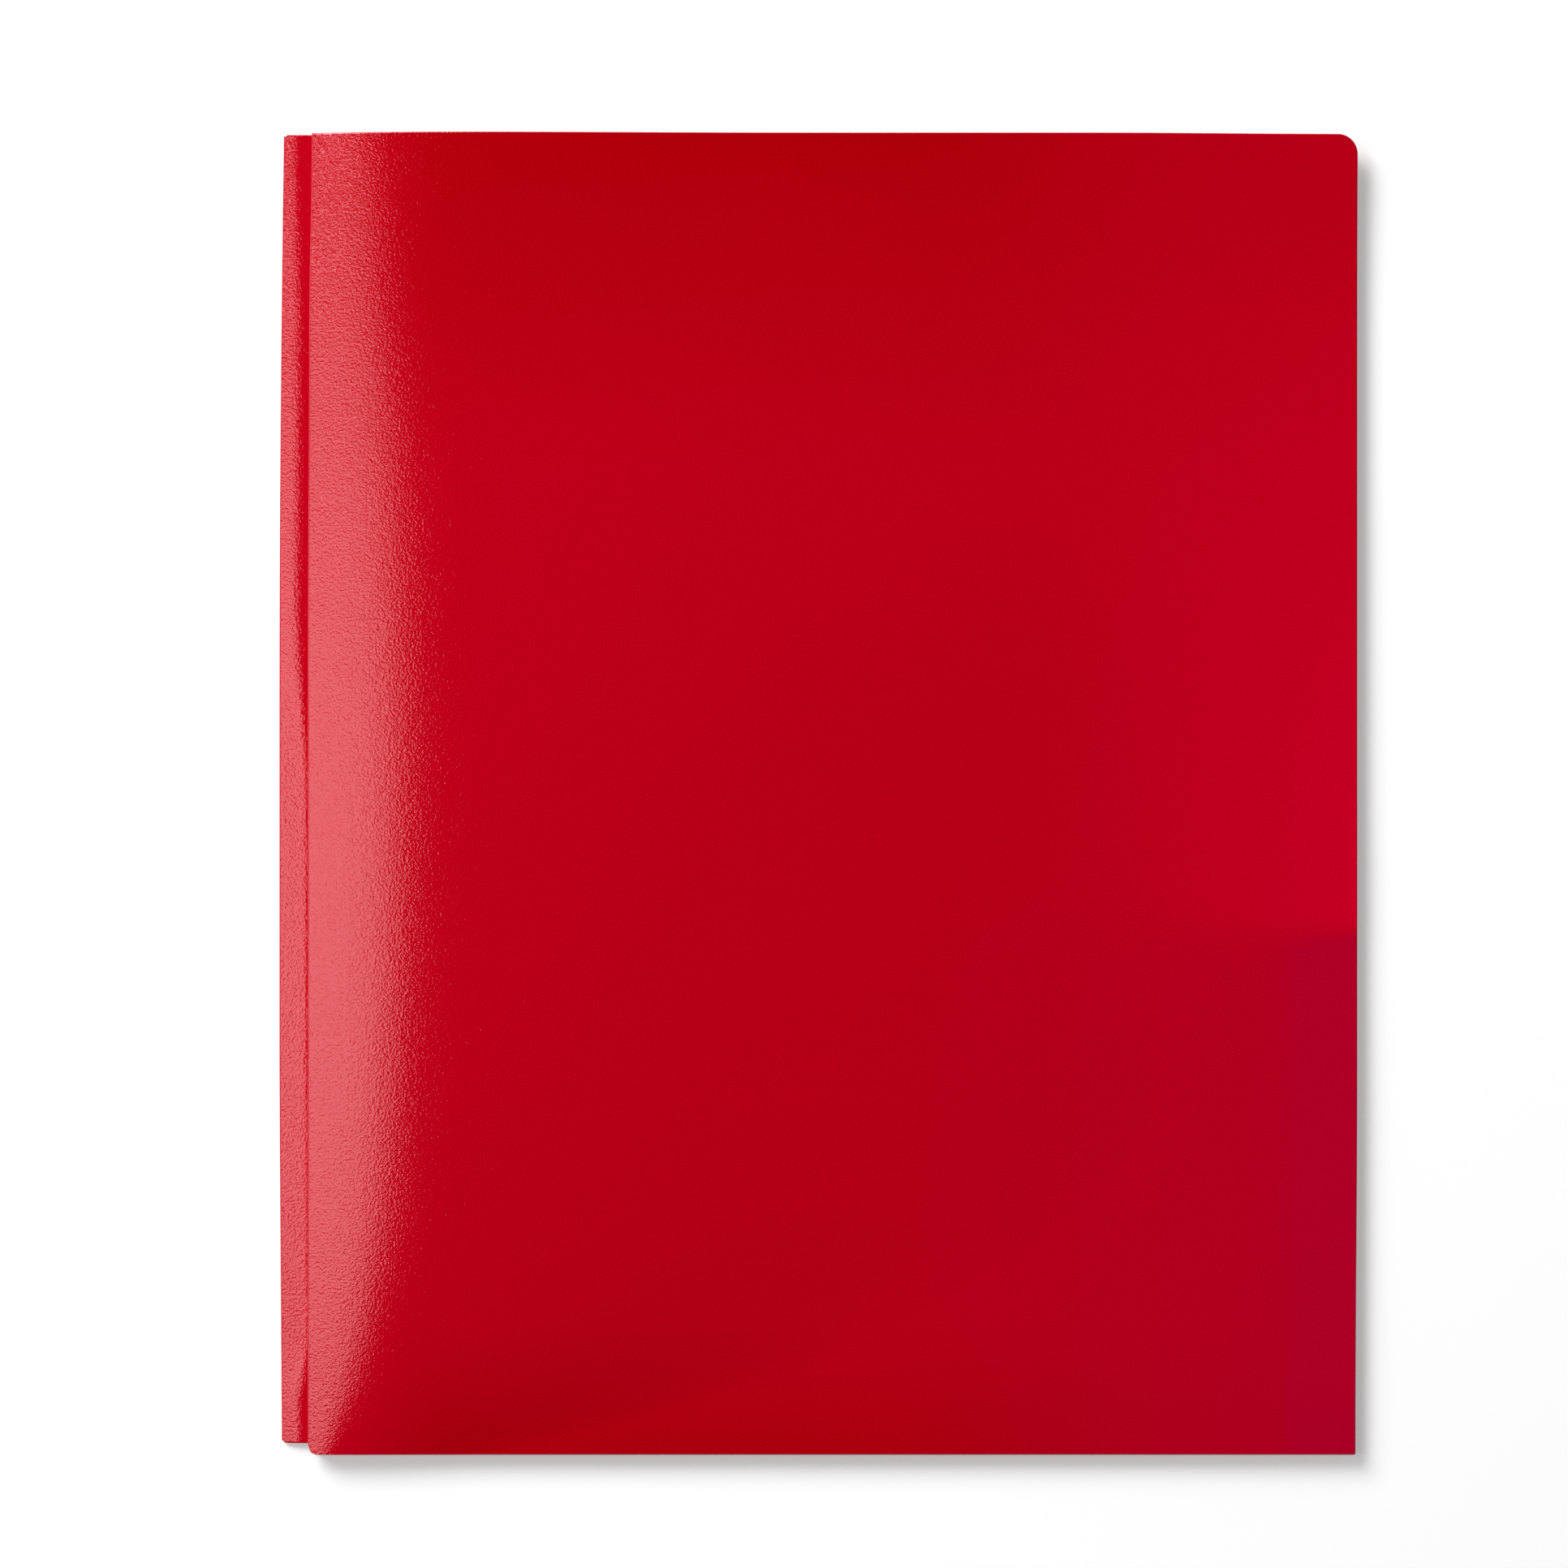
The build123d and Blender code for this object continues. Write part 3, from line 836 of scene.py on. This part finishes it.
# Fasteners
def tang_piece(node, side):
    """Flat steel blade with a round tip and a pressed rib: the rib is an eased ridge along the middle."""
    low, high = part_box(node)
    middle_x, middle_z = (low[X] + high[X]) / 2, (low[Z] + high[Z]) / 2
    width, thickness = high[X] - low[X], high[Z] - low[Z]
    bend, tip = (low[Y], high[Y]) if side > 0 else (high[Y], low[Y])
    length = abs(tip - bend)

    def blade_middle(a, b):
        """Blade narrowing to its tip along a half circle, with the rib lifted along its middle stretch."""
        into_tip = np.clip((b - (length - width / 2)) / (width / 2), 0, 1)
        x = a * np.sqrt(1 - (0.999 * into_tip) ** 2)
        stretch = smooth(2 * MM, 4 * MM, b) * (1 - smooth(length - 5 * MM, length - 3 * MM, b))
        rib = RIB_HEIGHT * np.exp(-((x / RIB_WIDTH) ** 2)) * stretch
        return middle_x + x, bend + side * b, middle_z + rib

    tip_rows = arc_steps(length - width / 2, width / 2, 0, 84, 9)
    blade = sheet_piece(
        f"{node}_blade", blade_middle, np.linspace(-width / 2, width / 2, 17),
        np.concatenate((steps((0, length - width / 2, 0.8 * MM))[:-1], tip_rows, [length])),
        (ROUND, ROUND, ROUND, ROUND), thickness=thickness,
    )
    blade.data.materials.append(steel)
    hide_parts(node)
    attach(blade, node)


for name in PLACES:
    tang_piece(f"tang_{name}_upper", 1)
    tang_piece(f"tang_{name}_lower", -1)
    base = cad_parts[f"fastener_base_{name}"]
    base.data.materials.clear()
    base.data.materials.append(steel)

# Table, light and camera
FLOOR_SIZE = 4.0
FLOOR_Z = -0.05 * MM
floor_mesh = bpy.data.meshes.new("white_table")
floor_corners = FLOOR_SIZE / 2 * np.array([(-1, -1), (1, -1), (1, 1), (-1, 1)])
floor_mesh.from_pydata([(x, y, FLOOR_Z) for x, y in floor_corners], [], [(0, 1, 2, 3)])
floor_mesh.materials.append(white_table())
floor = bpy.data.objects.new("white_table", floor_mesh)
bpy.context.scene.collection.objects.link(floor)


def softbox(name, place, target, width, length, brightness):
    """Rectangular lamp of even brightness, facing a target, with its length level."""
    lamp = bpy.data.lights.new(name, "AREA")
    lamp.shape = "RECTANGLE"
    lamp.size, lamp.size_y = length, width
    lamp.energy = brightness * np.pi * width * length
    stand = bpy.data.objects.new(name, lamp)
    bpy.context.scene.collection.objects.link(stand)
    stand.location = place
    stand.rotation_mode = "QUATERNION"
    stand.rotation_quaternion = (Vector(target) - Vector(place)).to_track_quat("-Z", "Y")


# The key at the upper left casts the shadow; the side box is what the arch of the cover mirrors
softbox(
    "key_softbox", place=(-1.46, 1.78, 1.95), target=(0, 0, 0),
    width=1.69, length=1.69, brightness=14.5,
)
softbox(
    "side_softbox", place=(-1.05, -0.075, 1.64), target=(-0.09, -0.075, 0.0),
    width=0.786, length=0.75, brightness=2.6,
)
softbox(
    "side_softbox_core", place=(-1.06, -0.05, 1.66), target=(-0.09, -0.05, 0.0),
    width=0.8, length=0.44, brightness=1.1,
)

# Studio walls: bright round the horizon for fill, dark overhead so that flat plastic keeps its colour
WALL_STRENGTH = 0.25
WALL_FADE_START = 0.66
WALL_FADE_END = 0.8
world = bpy.data.worlds.new("studio")
bpy.context.scene.world = world
world.use_nodes = True
world.node_tree.nodes.clear()
direction = add_node(world.node_tree, "ShaderNodeTexCoord").outputs["Generated"]
height = add_node(world.node_tree, "ShaderNodeSeparateXYZ", {"Vector": direction}).outputs["Z"]
wall = add_node(
    world.node_tree, "ShaderNodeMapRange",
    {
        "Value": height, "From Min": WALL_FADE_START, "From Max": WALL_FADE_END,
        "To Min": WALL_STRENGTH, "To Max": 0.0,
    },
    interpolation_type="SMOOTHSTEP",
)
sky = add_node(
    world.node_tree, "ShaderNodeBackground",
    {"Color": linear("#FFFFFF"), "Strength": wall.outputs["Result"]},
)
add_node(world.node_tree, "ShaderNodeOutputWorld", {"Surface": sky.outputs["Background"]})

# The camera looks straight down on the closed folder
camera = bpy.data.cameras.new("photo_camera")
camera.lens = 153.3
camera.sensor_width = 36.0
camera.clip_end = 10.0
camera_stand = bpy.data.objects.new("photo_camera", camera)
bpy.context.scene.collection.objects.link(camera_stand)
camera_stand.location = (-7.76 * MM, 2.28 * MM, 1.5)
bpy.context.scene.camera = camera_stand
bpy.context.scene.view_settings.view_transform = "Standard"
